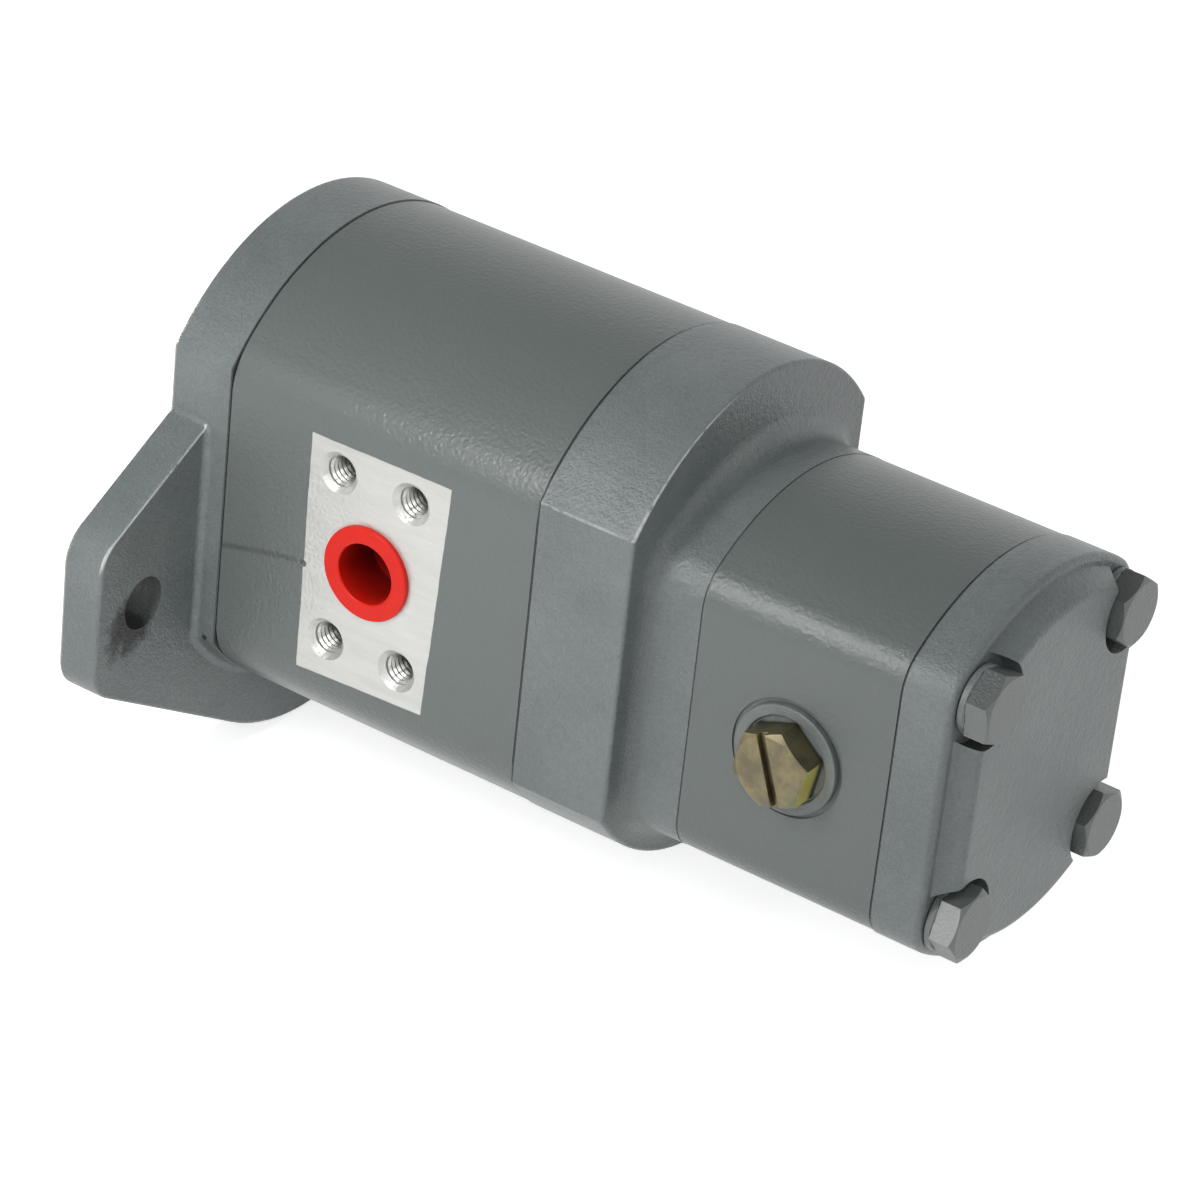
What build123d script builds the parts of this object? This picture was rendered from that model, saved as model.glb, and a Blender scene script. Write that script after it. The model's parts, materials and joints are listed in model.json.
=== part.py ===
from build123d import *
from math import acos, cos, pi, radians, sin, sqrt, tan
import os

# Tandem external gear pump. Two gear stages stand in line on one shaft axis: a wide front stage and
# a small rear stage, between a flanged front cover, an intermediate cover and a rear cover.
#
# Frame, in millimetres: the origin is on the shaft axis at the mounting face, +X runs along the
# shaft towards the rear cover, and +Z from the drive gears to the driven gears. The outlets face -Y
# and the common inlet faces +Y.

os.makedirs("parts", exist_ok=True)

# ---------------------------------------------------------------- driving dimensions
# Mounting flange: two-bolt pattern with a round pilot
pilot_diameter = 101.6
pilot_height = 9.7
pilot_chamfer = 1.0
flange_hole_spacing = 146.05
flange_hole_diameter = 14.3
flange_lobe_radius = 62.5
flange_tip_reach = 90.6
flange_edge_slope = 30.0
flange_tip_radius = 11.0
flange_thickness = 11.5
flange_edge_round = 1.0
flange_root_fillet = 2.0

# Lengths along the shaft
front_cover_length = 18.1
front_body_length = 93.9
intermediate_length = 28.0
neck_length = 15.2
rear_body_length = 56.5
rear_plate_thickness = 14.0
rear_boss_height = 5.7

# Section of the front stage: flat sides, round top and bottom
front_half_width = 51.0
front_arc_radius = 63.7
front_arc_shift = 1.4
front_corner_radius = 18.0
cast_corner_radius = 1.5
cast_overhang = 0.3
neck_overhang = 0.1

# Section of the rear stage
rear_half_width = 41.8
rear_arc_radius = 63.6
rear_arc_shift = -12.6
rear_corner_radius = 12.0

# Cast covers
neck_fillet = 5.5
cast_edge_round = 1.0
boss_inset = 2.8
boss_draft = 36.0
boss_edge_round = 2.4
plate_edge_round = 1.8
pocket_diameter = 23.0
pocket_edge_round = 0.9
seam_chamfer = 0.25
neck_seam_chamfer = 0.12

# Gears: equal pairs, so the ratio is one to one
pressure_angle = 20.0
addendum_factor = 0.92
dedendum_factor = 1.20
backlash = 0.24
front_teeth = 12
front_module = 3.5
front_gear_width = 38.0
rear_teeth = 12
rear_module = 2.5
rear_gear_width = 16.0

# Running and assembly clearances
tip_clearance = 0.06
side_clearance = 0.05
bearing_clearance = 0.04
block_clearance = 0.03
bolt_clearance = 0.5
spline_clearance = 0.08
groove_clearance = 0.10
shaft_end_gap = 1.0
seat_clearance = 0.05

# Shafts
front_journal_diameter = 25.0
rear_journal_diameter = 17.0
seal_journal_diameter = 25.4
seal_journal_start = -12.0
shaft_bore_clearance = 0.8
spline_teeth = 13
spline_major_diameter = 21.8
spline_minor_diameter = 18.6
spline_root_share = 0.34
spline_crest_share = 0.18
shaft_reach = 32.0
shaft_neck_length = 3.0
shaft_end_chamfer = 1.2
tail_spline_teeth = 12
tail_spline_major = 16.0
tail_spline_minor = 13.8
tail_gap = 4.0
coupling_diameter = 24.0
coupling_length = 34.0
coupling_bore_clearance = 1.0

# Bearings
bush_wall = 2.0
bush_recess = 0.4
relief_width = 5.0
relief_height = 6.0
relief_depth = 1.6
relief_offset = 6.5
relief_corner = 1.25

# Seals
body_seal_offset = 3.4
body_seal_width = 2.6
body_seal_depth = 1.9
block_seal_offset = 3.0
block_seal_width = 2.2
block_seal_depth = 1.8
body_seal_blend = 12.0
front_block_seal_blend = 5.0
rear_block_seal_blend = 1.8
shaft_seal_diameter = 40.0
shaft_seal_width = 7.0
shaft_seal_depth = 2.0
retaining_ring_width = 1.75
retaining_ring_depth = 1.25
retaining_ring_height = 4.0
retaining_ring_gap_angle = 50.0
seal_shell = 2.0
seal_lip_width = 1.2

# Fasteners, M10
bolt_diameter = 10.0
tap_diameter = 8.5
head_across_flats = 17.0
head_height = 6.4
head_bevel = 0.4
head_bevel_angle = 60.0
washer_diameter = 18.1
washer_thickness = 2.2
washer_bevel = 0.35
rear_bolt_y = 31.2
rear_bolt_z = 30.4
rear_bolt_length = 85.0
rear_bolt_turns = (8.0, 38.0, 40.0, 24.0)
socket_head_diameter = 16.0
socket_head_height = 10.0
socket_across_flats = 8.0
socket_depth = 5.5
counterbore_diameter = 17.0
counterbore_seat = 10.5
front_screw_y = 36.0
front_screw_z = 37.0
front_screw_length = 120.0
thread_run_out = 2.5
dowel_diameter = 8.0
dowel_length = 14.0
front_dowel_y = 41.0
rear_dowel_y = 32.5

# Outlet of the front stage: flange pad with four screw holes
outlet_x = 63.7
outlet_diameter = 19.0
outlet_spacing_x = 22.23
outlet_spacing_z = 47.63
port_screw_depth = 18.0
port_countersink = 11.4
port_countersink_angle = 90.0

# Inlet, common to both stages
inlet_diameter = 25.4
inlet_spacing_x = 26.19
inlet_spacing_z = 52.37
front_channel_radius = 4.5
front_channel_y = 12.5
rear_channel_radius = 3.5
rear_channel_y = 9.8
channel_drill_depth = 25.0

# Outlet of the rear stage: screwed port, closed by a plug
rear_port_drill = 15.0
rear_thread_diameter = 17.5
rear_thread_depth = 15.0
spotface_diameter = 31.5
spotface_depth = 0.6
plug_across_flats = 19.0
plug_head_height = 7.8
plug_turn = 20.0
plug_slot_width = 2.4
plug_slot_depth = 1.8
plug_shank_length = 11.0
plug_seal_diameter = 29.0
plug_seal_thickness = 2.0
plug_seal_recess = 23.0
plug_seal_recess_depth = 0.8
plug_seal_round = 0.5

# Transit caps
cap_rim_width = 3.2
cap_rim_height = 1.4
cap_depth = 14.0
cap_wall = 1.2
cap_floor = 1.6
cap_taper = 2.0
cap_rim_round = 0.5
cap_bore_clearance = 0.15

# ---------------------------------------------------------------- derived places
front_distance = front_module * front_teeth
rear_distance = rear_module * rear_teeth
front_mid = front_distance / 2
rear_mid = rear_distance / 2

front_body_start = front_cover_length
front_body_end = front_body_start + front_body_length
neck_start = front_body_end + intermediate_length
rear_body_start = neck_start + neck_length
rear_body_end = rear_body_start + rear_body_length
rear_seat = rear_body_end + rear_plate_thickness

front_tip_radius = front_distance / 2 + addendum_factor * front_module
rear_tip_radius = rear_distance / 2 + addendum_factor * rear_module
front_chamber_radius = front_tip_radius + tip_clearance
rear_chamber_radius = rear_tip_radius + tip_clearance
front_gear_start = front_body_start + (front_body_length - front_gear_width) / 2
rear_gear_start = rear_body_start + (rear_body_length - rear_gear_width) / 2
front_block_length = front_gear_start - side_clearance - front_body_start
rear_block_length = rear_gear_start - side_clearance - rear_body_start
front_bush_radius = front_journal_diameter / 2 + bearing_clearance + bush_wall
rear_bush_radius = rear_journal_diameter / 2 + bearing_clearance + bush_wall
# seal paths: inner radius, width, distance between the axes, blend at the waists
front_body_seal_radius = front_chamber_radius + body_seal_offset
rear_body_seal_radius = rear_chamber_radius + body_seal_offset
front_block_seal_radius = front_bush_radius + block_seal_offset
rear_block_seal_radius = rear_bush_radius + block_seal_offset
front_body_ring = (front_body_seal_radius, body_seal_width, front_distance, body_seal_blend)
rear_body_ring = (rear_body_seal_radius, body_seal_width, rear_distance, body_seal_blend)
front_block_ring = (front_block_seal_radius, block_seal_width, front_distance, front_block_seal_blend)
rear_block_ring = (rear_block_seal_radius, block_seal_width, rear_distance, rear_block_seal_blend)

coupling_start = front_body_end + (intermediate_length + neck_length - coupling_length) / 2
coupling_middle = coupling_start + coupling_length / 2



def four_corners(y, z, mid):
    """Places of four fasteners about the middle of a section: near low, near high, far low, far high."""
    return [(-y, mid - z), (-y, mid + z), (y, mid - z), (y, mid + z)]


front_screws_at = four_corners(front_screw_y, front_screw_z, front_mid)
rear_bolts_at = four_corners(rear_bolt_y, rear_bolt_z, rear_mid)
front_dowels_at = [(-front_dowel_y, front_mid), (front_dowel_y, front_mid)]
rear_dowels_at = [(-rear_dowel_y, rear_mid), (rear_dowel_y, rear_mid)]

outlet_face = Plane(origin=(outlet_x, -front_half_width, front_mid), x_dir=(1, 0, 0), z_dir=(0, -1, 0))
inlet_face = Plane(origin=(outlet_x, front_half_width, front_mid), x_dir=(-1, 0, 0), z_dir=(0, 1, 0))
rear_port_x = rear_body_start + rear_body_length / 2
rear_port_face = Plane(origin=(rear_port_x, -rear_half_width, rear_mid), x_dir=(1, 0, 0), z_dir=(0, -1, 0))


# ---------------------------------------------------------------- profiles
def across(x):
    """Plane square to the shaft at station x, with local axes Y and Z."""
    return Plane.YZ.offset(x)


def oval_section(half_width, mid, arc_radius, arc_shift, corner_radius, grow=0.0):
    """Pump section: flat sides, round top and bottom, rounded where they meet."""
    side = half_width + grow
    radius = arc_radius + grow
    corner = arc_shift + sqrt(radius**2 - side**2)
    crown = arc_shift + radius
    with BuildSketch() as section:
        with BuildLine():
            Line((side, mid - corner), (side, mid + corner))
            ThreePointArc((side, mid + corner), (0, mid + crown), (-side, mid + corner))
            Line((-side, mid + corner), (-side, mid - corner))
            ThreePointArc((-side, mid - corner), (0, mid - crown), (side, mid - corner))
        make_face()
        fillet(section.vertices(), corner_radius)
    return section.sketch


def front_section(corner_radius, grow=0.0):
    return oval_section(front_half_width, front_mid, front_arc_radius, front_arc_shift, corner_radius, grow)


def rear_section(grow=0.0):
    corner_radius = rear_corner_radius + min(grow, 0)
    return oval_section(rear_half_width, rear_mid, rear_arc_radius, rear_arc_shift, corner_radius, grow)


def flange_outline():
    """Two-bolt flange: a round lobe about the pilot, with straight edges out to the two ears."""
    slope = radians(flange_edge_slope)
    touch = (flange_lobe_radius * sin(slope), flange_lobe_radius * cos(slope))
    tip_z = (flange_lobe_radius - flange_tip_reach * sin(slope)) / cos(slope)
    ear = [touch, (flange_tip_reach, tip_z), (flange_tip_reach, -tip_z), (touch[0], -touch[1])]
    with BuildSketch() as outline:
        with BuildLine():
            Polyline(*ear, *[(-y, -z) for y, z in ear], close=True)
        make_face()
        Circle(flange_lobe_radius)
        tips = outline.vertices().filter_by(lambda v: abs(abs(v.X) - flange_tip_reach) < seat_clearance)
        fillet(tips, flange_tip_radius)
    return outline.sketch


def twin_circles(radius, distance):
    """Two overlapping circles, one on the drive axis and one on the driven axis."""
    with BuildSketch() as twin:
        with Locations((0, 0), (0, distance)):
            Circle(radius)
    return twin.sketch


def blended_twin(radius, distance, blend):
    """The twin circles with their two waists rounded by arcs of radius blend."""
    middle = distance / 2
    waist = sqrt((radius + blend) ** 2 - middle**2)
    share = radius / (radius + blend)
    side = waist * share
    low = middle * share
    high = distance - low
    with BuildSketch() as twin:
        with BuildLine():
            ThreePointArc((side, low), (0, -radius), (-side, low))
            ThreePointArc((-side, low), (blend - waist, middle), (-side, high))
            ThreePointArc((-side, high), (0, distance + radius), (side, high))
            ThreePointArc((side, high), (waist - blend, middle), (side, low))
        make_face()
    return twin.sketch


def twin_ring(inner_radius, width, distance, blend):
    """Seal path that follows the twin bores at a constant width; blend rounds its outer waists."""
    with BuildSketch() as ring:
        add(blended_twin(inner_radius + width, distance, blend))
        add(blended_twin(inner_radius, distance, blend + width), mode=Mode.SUBTRACT)
    return ring.sketch


def polar(radius, angle):
    return (radius * cos(angle), radius * sin(angle))


def gear_outline(teeth, module, tooth_angle):
    """Involute spur gear, its first tooth pointing at tooth_angle, thinned by half the backlash."""
    pitch_radius = module * teeth / 2
    base_radius = pitch_radius * cos(radians(pressure_angle))
    tip_radius = pitch_radius + addendum_factor * module
    root_radius = pitch_radius - dedendum_factor * module

    def involute(radius):
        angle = acos(base_radius / radius)
        return tan(angle) - angle

    def half_tooth(radius):
        at_pitch = pi / (2 * teeth) - backlash / (4 * pitch_radius)
        return at_pitch + involute(pitch_radius) - involute(radius)

    with BuildSketch() as gear:
        with BuildLine():
            for tooth in range(teeth):
                centre = tooth_angle + 2 * pi * tooth / teeth
                after = centre + 2 * pi / teeth
                flank = [base_radius, (base_radius + tip_radius) / 2, tip_radius]
                rise = [polar(r, centre - half_tooth(r)) for r in flank]
                fall = [polar(r, centre + half_tooth(r)) for r in reversed(flank)]
                root_in = polar(root_radius, centre - half_tooth(base_radius))
                root_out = polar(root_radius, centre + half_tooth(base_radius))
                root_next = polar(root_radius, after - half_tooth(base_radius))
                Line(root_in, rise[0])
                ThreePointArc(*rise)
                ThreePointArc(rise[2], polar(tip_radius, centre), fall[0])
                ThreePointArc(*fall)
                Line(fall[2], root_out)
                ThreePointArc(root_out, polar(root_radius, (centre + after) / 2), root_next)
        make_face()
    return gear.sketch


def spline_outline(teeth, major_diameter, minor_diameter, grow=0.0):
    """Straight-flanked shaft spline, its faces moved outward by grow."""
    pitch = 2 * pi / teeth
    root = minor_diameter / 2 + grow
    crest = major_diameter / 2 + grow
    root_half = spline_root_share * pitch + grow / root
    crest_half = spline_crest_share * pitch + grow / crest
    corners = []
    for tooth in range(teeth):
        centre = pi / 2 + pitch * tooth
        corners.append(polar(root, centre - root_half))
        corners.append(polar(crest, centre - crest_half))
        corners.append(polar(crest, centre + crest_half))
        corners.append(polar(root, centre + root_half))
    with BuildSketch() as spline:
        with BuildLine():
            Polyline(*corners, close=True)
        make_face()
    return spline.sketch


def finish(piece, name):
    piece.part.label = name
    export_step(piece.part, f"parts/{name}.step")


# ---------------------------------------------------------------- front cover with mounting flange
counterbore_mouth = -pilot_height
seal_pocket_length = pilot_height + shaft_seal_depth
ring_groove_start = shaft_seal_depth - shaft_seal_width - retaining_ring_width

with BuildPart() as front_cover:
    with BuildSketch(across(0)):
        add(flange_outline())
    extrude(amount=flange_thickness)
    fillet(front_cover.faces().sort_by(Axis.X)[-1].edges(), flange_edge_round)
    with BuildSketch(across(0)):
        add(front_section(cast_corner_radius, cast_overhang))
    extrude(amount=front_cover_length)
    root = front_cover.edges(Select.LAST).filter_by_position(Axis.X, flange_thickness, flange_thickness)
    fillet(root, flange_root_fillet)
    chamfer(front_cover.faces().sort_by(Axis.X)[-1].edges(), seam_chamfer)
    with BuildSketch(across(0)):
        Circle(pilot_diameter / 2)
    extrude(amount=-pilot_height)
    chamfer(front_cover.faces().sort_by(Axis.X)[0].edges(), pilot_chamfer)
    # flange bolt holes
    with BuildSketch(across(0)):
        with Locations((-flange_hole_spacing / 2, 0), (flange_hole_spacing / 2, 0)):
            Circle(flange_hole_diameter / 2)
    extrude(amount=flange_thickness, mode=Mode.SUBTRACT)
    # shaft bore, seal pocket and retaining ring groove
    with BuildSketch(across(-pilot_height)):
        Circle(shaft_seal_diameter / 2)
    extrude(amount=seal_pocket_length, mode=Mode.SUBTRACT)
    with BuildSketch(across(ring_groove_start)):
        Circle(shaft_seal_diameter / 2 + retaining_ring_depth)
    extrude(amount=retaining_ring_width, mode=Mode.SUBTRACT)
    with BuildSketch(across(shaft_seal_depth)):
        Circle(seal_journal_diameter / 2 + shaft_bore_clearance)
    extrude(amount=front_cover_length - shaft_seal_depth, mode=Mode.SUBTRACT)
    # through holes and counterbores for the socket screws
    with BuildSketch(across(counterbore_mouth)):
        with Locations(*front_screws_at):
            Circle(counterbore_diameter / 2)
    extrude(amount=counterbore_seat - counterbore_mouth, mode=Mode.SUBTRACT)
    with BuildSketch(across(counterbore_seat)):
        with Locations(*front_screws_at):
            Circle((bolt_diameter + bolt_clearance) / 2)
    extrude(amount=front_cover_length - counterbore_seat, mode=Mode.SUBTRACT)
    # dowel holes
    with BuildSketch(across(front_cover_length)):
        with Locations(*front_dowels_at):
            Circle(dowel_diameter / 2)
    extrude(amount=-dowel_length / 2, mode=Mode.SUBTRACT)
finish(front_cover, "front_cover")

# ---------------------------------------------------------------- extruded bodies
port_screw_hole = {
    "radius": tap_diameter / 2,
    "counter_sink_radius": port_countersink / 2,
    "depth": port_screw_depth,
    "counter_sink_angle": port_countersink_angle,
}

with BuildPart() as front_body:
    with BuildSketch(across(front_body_start)):
        add(front_section(front_corner_radius))
    extrude(amount=front_body_length)
    ends = front_body.faces().filter_by(Axis.X)
    chamfer(ends.edges(), seam_chamfer)
    # gear chamber with the suction channel on the inlet side
    with BuildSketch(across(front_body_start)):
        add(twin_circles(front_chamber_radius, front_distance))
    extrude(amount=front_body_length, mode=Mode.SUBTRACT)
    with BuildSketch(across(outlet_x)):
        with Locations((front_channel_y, front_mid)):
            Circle(front_channel_radius)
    extrude(amount=front_body_end - outlet_x, mode=Mode.SUBTRACT)
    # seal grooves in both end faces
    for x, inward in ((front_body_start, 1), (front_body_end, -1)):
        with BuildSketch(across(x)):
            add(twin_ring(*front_body_ring))
        extrude(amount=inward * body_seal_depth, mode=Mode.SUBTRACT)
        with BuildSketch(across(x)):
            with Locations(*front_dowels_at):
                Circle(dowel_diameter / 2)
        extrude(amount=inward * dowel_length / 2, mode=Mode.SUBTRACT)
    # tie screw holes
    with BuildSketch(across(front_body_start)):
        with Locations(*front_screws_at):
            Circle((bolt_diameter + bolt_clearance) / 2)
    extrude(amount=front_body_length, mode=Mode.SUBTRACT)
    # flange ports
    with Locations(outlet_face):
        Hole(outlet_diameter / 2, depth=front_half_width)
        with GridLocations(outlet_spacing_x, outlet_spacing_z, 2, 2):
            CounterSinkHole(**port_screw_hole)
    with Locations(inlet_face):
        Hole(inlet_diameter / 2, depth=front_half_width)
        with GridLocations(inlet_spacing_x, inlet_spacing_z, 2, 2):
            CounterSinkHole(**port_screw_hole)
finish(front_body, "front_body")

with BuildPart() as rear_body:
    with BuildSketch(across(rear_body_start)):
        add(rear_section())
    extrude(amount=rear_body_length)
    chamfer(rear_body.faces().sort_by(Axis.X)[0].edges(), neck_seam_chamfer)
    chamfer(rear_body.faces().sort_by(Axis.X)[-1].edges(), seam_chamfer)
    with BuildSketch(across(rear_body_start)):
        add(twin_circles(rear_chamber_radius, rear_distance))
    extrude(amount=rear_body_length, mode=Mode.SUBTRACT)
    with BuildSketch(across(rear_body_start)):
        with Locations((rear_channel_y, rear_mid)):
            Circle(rear_channel_radius)
    extrude(amount=rear_body_length / 2, mode=Mode.SUBTRACT)
    for x, inward in ((rear_body_start, 1), (rear_body_end, -1)):
        with BuildSketch(across(x)):
            add(twin_ring(*rear_body_ring))
        extrude(amount=inward * body_seal_depth, mode=Mode.SUBTRACT)
        with BuildSketch(across(x)):
            with Locations(*rear_dowels_at):
                Circle(dowel_diameter / 2)
        extrude(amount=inward * dowel_length / 2, mode=Mode.SUBTRACT)
    with BuildSketch(across(rear_body_start)):
        with Locations(*rear_bolts_at):
            Circle((bolt_diameter + bolt_clearance) / 2)
    extrude(amount=rear_body_length, mode=Mode.SUBTRACT)
    # screwed outlet port: spotface, thread and drilling to the chamber
    with Locations(rear_port_face):
        Hole(spotface_diameter / 2, depth=spotface_depth)
        Hole(rear_thread_diameter / 2, depth=rear_thread_depth)
        Hole(rear_port_drill / 2, depth=rear_half_width)
finish(rear_body, "rear_body")

# ---------------------------------------------------------------- intermediate cover
with BuildPart() as intermediate_cover:
    with BuildSketch(across(front_body_end)):
        add(front_section(cast_corner_radius, cast_overhang))
    extrude(amount=intermediate_length)
    chamfer(intermediate_cover.faces().sort_by(Axis.X)[0].edges(), seam_chamfer)
    fillet(intermediate_cover.faces().sort_by(Axis.X)[-1].edges(), cast_edge_round)
    with BuildSketch(across(neck_start)):
        add(rear_section(neck_overhang))
    extrude(amount=neck_length)
    neck_root = intermediate_cover.edges(Select.LAST).filter_by_position(Axis.X, neck_start, neck_start)
    fillet(neck_root, neck_fillet)
    # clear bore for the coupling
    with BuildSketch(across(front_body_end)):
        Circle(coupling_diameter / 2 + coupling_bore_clearance)
    extrude(amount=intermediate_length + neck_length, mode=Mode.SUBTRACT)
    # suction passage, drilled from both faces
    with BuildSketch(across(front_body_end)):
        with Locations((front_channel_y, front_mid)):
            Circle(front_channel_radius)
    extrude(amount=channel_drill_depth, mode=Mode.SUBTRACT)
    with BuildSketch(across(rear_body_start)):
        with Locations((rear_channel_y, rear_mid)):
            Circle(rear_channel_radius)
    extrude(amount=-channel_drill_depth, mode=Mode.SUBTRACT)
    # tapped holes: front screws from the front face, rear bolts from the neck face
    front_tap_depth = counterbore_seat + front_screw_length - front_body_end + thread_run_out
    with BuildSketch(across(front_body_end)):
        with Locations(*front_screws_at):
            Circle((bolt_diameter + seat_clearance) / 2)
    extrude(amount=front_tap_depth, mode=Mode.SUBTRACT)
    rear_tap_depth = rear_body_start - (rear_seat + washer_thickness - rear_bolt_length) + thread_run_out
    with BuildSketch(across(rear_body_start)):
        with Locations(*rear_bolts_at):
            Circle((bolt_diameter + seat_clearance) / 2)
    extrude(amount=-rear_tap_depth, mode=Mode.SUBTRACT)
    for x, places, depth in ((front_body_end, front_dowels_at, dowel_length / 2),
                             (rear_body_start, rear_dowels_at, -dowel_length / 2)):
        with BuildSketch(across(x)):
            with Locations(*places):
                Circle(dowel_diameter / 2)
        extrude(amount=depth, mode=Mode.SUBTRACT)
finish(intermediate_cover, "intermediate_cover")

# ---------------------------------------------------------------- rear cover
with BuildPart() as rear_cover:
    with BuildSketch(across(rear_body_end)):
        add(rear_section(cast_overhang))
    extrude(amount=rear_plate_thickness)
    chamfer(rear_cover.faces().sort_by(Axis.X)[0].edges(), seam_chamfer)
    fillet(rear_cover.faces().sort_by(Axis.X)[-1].edges(), plate_edge_round)
    # raised boss with drafted walls
    with BuildSketch(across(rear_seat)):
        add(rear_section(-boss_inset))
    extrude(amount=rear_boss_height, taper=boss_draft)
    fillet(rear_cover.faces().sort_by(Axis.X)[-1].edges(), boss_edge_round)
    # bolt pockets cut down to the plate, open to the outside
    with BuildSketch(across(rear_seat)):
        with Locations(*rear_bolts_at):
            Circle(pocket_diameter / 2)
    extrude(amount=rear_boss_height, mode=Mode.SUBTRACT)
    with BuildSketch(across(rear_body_end)):
        with Locations(*rear_bolts_at):
            Circle((bolt_diameter + bolt_clearance) / 2)
    extrude(amount=rear_plate_thickness, mode=Mode.SUBTRACT)
    with BuildSketch(across(rear_body_end)):
        with Locations(*rear_dowels_at):
            Circle(dowel_diameter / 2)
    extrude(amount=dowel_length / 2, mode=Mode.SUBTRACT)
finish(rear_cover, "rear_cover")

# ---------------------------------------------------------------- gears and shafts
front_tail_end = coupling_middle - tail_gap / 2
rear_tail_start = coupling_middle + tail_gap / 2
tooth_up = pi / 2
front_tooth_between = tooth_up + pi / front_teeth
rear_tooth_between = tooth_up + pi / rear_teeth

with BuildPart() as drive_gear_shaft:
    with BuildSketch(across(-shaft_reach)):
        add(spline_outline(spline_teeth, spline_major_diameter, spline_minor_diameter))
    extrude(amount=shaft_reach + seal_journal_start - shaft_neck_length)
    chamfer(drive_gear_shaft.faces().sort_by(Axis.X)[0].edges(), shaft_end_chamfer)
    with BuildSketch(across(seal_journal_start - shaft_neck_length)):
        Circle(spline_minor_diameter / 2)
    extrude(amount=shaft_neck_length)
    with BuildSketch(across(seal_journal_start)):
        Circle(seal_journal_diameter / 2)
    extrude(amount=front_body_start - seal_journal_start - side_clearance)
    with BuildSketch(across(front_body_start - side_clearance)):
        Circle(front_journal_diameter / 2)
    extrude(amount=front_body_length + side_clearance - shaft_end_gap)
    with BuildSketch(across(front_gear_start)):
        add(gear_outline(front_teeth, front_module, tooth_up))
    extrude(amount=front_gear_width)
    with BuildSketch(across(front_body_end - shaft_end_gap)):
        add(spline_outline(tail_spline_teeth, tail_spline_major, tail_spline_minor))
    extrude(amount=front_tail_end - front_body_end + shaft_end_gap)
finish(drive_gear_shaft, "drive_gear_shaft")

with BuildPart() as front_driven_gear:
    with BuildSketch(across(front_body_start + shaft_end_gap)):
        with Locations((0, front_distance)):
            Circle(front_journal_diameter / 2)
    extrude(amount=front_body_length - 2 * shaft_end_gap)
    chamfer(front_driven_gear.faces().filter_by(Axis.X).edges(), shaft_end_chamfer)
    with BuildSketch(across(front_gear_start)):
        with Locations((0, front_distance)):
            add(gear_outline(front_teeth, front_module, front_tooth_between))
    extrude(amount=front_gear_width)
finish(front_driven_gear, "front_driven_gear")

with BuildPart() as shaft_coupling:
    with BuildSketch(across(coupling_start)):
        Circle(coupling_diameter / 2)
    extrude(amount=coupling_length)
    chamfer(shaft_coupling.edges(), shaft_end_chamfer)
    with BuildSketch(across(coupling_start)):
        add(spline_outline(tail_spline_teeth, tail_spline_major, tail_spline_minor, spline_clearance))
    extrude(amount=coupling_length, mode=Mode.SUBTRACT)
finish(shaft_coupling, "shaft_coupling")

with BuildPart() as rear_drive_gear:
    with BuildSketch(across(rear_tail_start)):
        add(spline_outline(tail_spline_teeth, tail_spline_major, tail_spline_minor))
    extrude(amount=rear_body_start - rear_tail_start)
    with BuildSketch(across(rear_body_start)):
        Circle(rear_journal_diameter / 2)
    extrude(amount=rear_body_length - shaft_end_gap)
    chamfer(rear_drive_gear.faces().sort_by(Axis.X)[-1].edges(), shaft_end_chamfer)
    with BuildSketch(across(rear_gear_start)):
        add(gear_outline(rear_teeth, rear_module, tooth_up))
    extrude(amount=rear_gear_width)
finish(rear_drive_gear, "rear_drive_gear")

with BuildPart() as rear_driven_gear:
    with BuildSketch(across(rear_body_start + shaft_end_gap)):
        with Locations((0, rear_distance)):
            Circle(rear_journal_diameter / 2)
    extrude(amount=rear_body_length - 2 * shaft_end_gap)
    chamfer(rear_driven_gear.faces().filter_by(Axis.X).edges(), shaft_end_chamfer)
    with BuildSketch(across(rear_gear_start)):
        with Locations((0, rear_distance)):
            add(gear_outline(rear_teeth, rear_module, rear_tooth_between))
    extrude(amount=rear_gear_width)
finish(rear_driven_gear, "rear_driven_gear")


# ---------------------------------------------------------------- bearing blocks, bushes and their seals
def bearing_block(name, start, length, back_at_start, chamber_radius, bush_radius, distance, seal_ring):
    """Pressure-balanced block: bush bores, trapping reliefs on the gear face, seal groove on the back."""
    end = start + length
    back, gear_face = (start, end) if back_at_start else (end, start)
    inward = 1 if back_at_start else -1
    with BuildPart() as block:
        with BuildSketch(across(start)):
            add(twin_circles(chamber_radius - block_clearance, distance))
            with Locations((0, 0), (0, distance)):
                Circle(bush_radius, mode=Mode.SUBTRACT)
        extrude(amount=length)
        with BuildSketch(across(back)):
            add(twin_ring(*seal_ring))
        extrude(amount=inward * block_seal_depth, mode=Mode.SUBTRACT)
        with BuildSketch(across(gear_face)):
            with Locations((-relief_offset, distance / 2), (relief_offset, distance / 2)):
                RectangleRounded(relief_width, relief_height, relief_corner)
        extrude(amount=-inward * relief_depth, mode=Mode.SUBTRACT)
    finish(block, name)


front_block_rear_start = front_gear_start + front_gear_width + side_clearance
rear_block_rear_start = rear_gear_start + rear_gear_width + side_clearance
front_twin = (front_chamber_radius, front_bush_radius, front_distance, front_block_ring)
rear_twin = (rear_chamber_radius, rear_bush_radius, rear_distance, rear_block_ring)
bearing_block("front_stage_block_front", front_body_start, front_block_length, True, *front_twin)
bearing_block("front_stage_block_rear", front_block_rear_start, front_block_length, False, *front_twin)
bearing_block("rear_stage_block_front", rear_body_start, rear_block_length, True, *rear_twin)
bearing_block("rear_stage_block_rear", rear_block_rear_start, rear_block_length, False, *rear_twin)


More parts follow.
